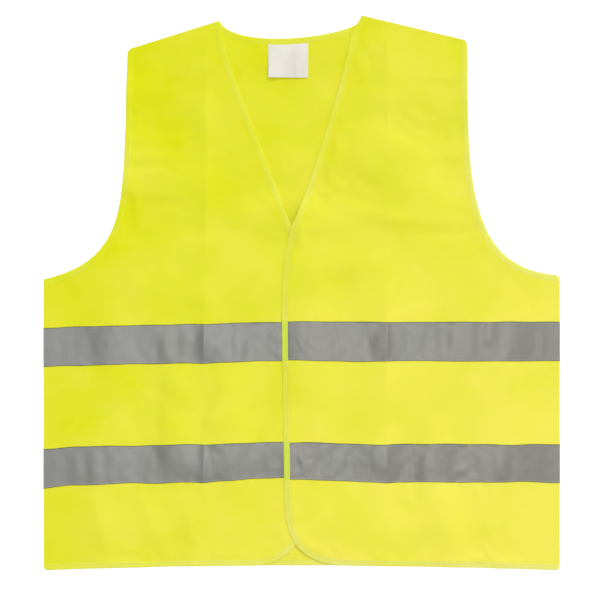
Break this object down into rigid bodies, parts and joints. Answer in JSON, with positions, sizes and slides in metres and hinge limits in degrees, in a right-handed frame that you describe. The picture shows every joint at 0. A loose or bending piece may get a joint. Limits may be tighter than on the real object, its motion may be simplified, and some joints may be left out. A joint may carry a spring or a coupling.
{
  "type": "high visibility vest",
  "caption": "High-visibility vest laid flat: yellow knit, grey retroreflective tapes, bound V neck, armholes and hem, fronts lapped on hook-and-loop, blank care label.",
  "frame": {"origin": "middle of the vest's outline, on the surface it lies on", "axes": "+X to the wearer's left, +Y from hem to neck, +Z away from the surface, through the fronts"},
  "size_m": [0.652, 0.7022, 0.0098],
  "materials": {
    "yellow_knit": "matt knitted polyester",
    "edge_binding": "matt woven tape",
    "reflective_tape": "satin glass-bead coating",
    "hook_and_loop": "matt pile",
    "label_satin": "satin weave"
  },
  "bodies": {
    "back_and_sides": {"back_panel": "yellow_knit", "back_upper_tape": "reflective_tape", "back_lower_tape": "reflective_tape", "back_neck_binding": "edge_binding", "back_hem_binding": "edge_binding", "left_front_side": "yellow_knit", "right_front_side": "yellow_knit", "left_hem_binding_side": "edge_binding", "right_hem_binding_side": "edge_binding", "left_upper_tape_side": "reflective_tape", "left_lower_tape_side": "reflective_tape", "right_upper_tape_side": "reflective_tape", "right_lower_tape_side": "reflective_tape", "left_armhole_binding": "edge_binding", "right_armhole_binding": "edge_binding", "left_side_seam": "yellow_knit", "right_side_seam": "yellow_knit", "left_shoulder_seam": "yellow_knit", "right_shoulder_seam": "yellow_knit"},
    "left_front": {"left_front_flap": "yellow_knit", "left_front_binding": "edge_binding", "left_upper_tape_flap": "reflective_tape", "left_lower_tape_flap": "reflective_tape", "upper_loop_patch": "hook_and_loop", "lower_loop_patch": "hook_and_loop"},
    "right_front": {"right_front_flap": "yellow_knit", "right_front_binding": "edge_binding", "right_upper_tape_flap": "reflective_tape", "right_lower_tape_flap": "reflective_tape", "upper_hook_patch": "hook_and_loop", "lower_hook_patch": "hook_and_loop"},
    "care_label": {"care_label": "label_satin"}
  },
  "joints": [
    {"name": "left_front_open", "type": "hinge", "parent": "back_and_sides", "child": "left_front", "pos_m": [0.15765, 0, 0.0122], "axis": [-0.2287, 0.9735, 0], "range_deg": [0, 177]},
    {"name": "right_front_open", "type": "hinge", "parent": "back_and_sides", "child": "right_front", "pos_m": [-0.117, -0.0034, 0.0092], "axis": [-0.0374, -0.9993, 0], "range_deg": [0, 177]},
    {"name": "care_label_lift", "type": "hinge", "parent": "back_and_sides", "child": "care_label", "pos_m": [-0.017, 0.3133, 0.0022], "axis": [-1, 0, 0], "range_deg": [0, 165]}
  ],
  "couplings": [
    {"joint": "right_front_open", "follows": "left_front_open", "ratio": 1}
  ]
}
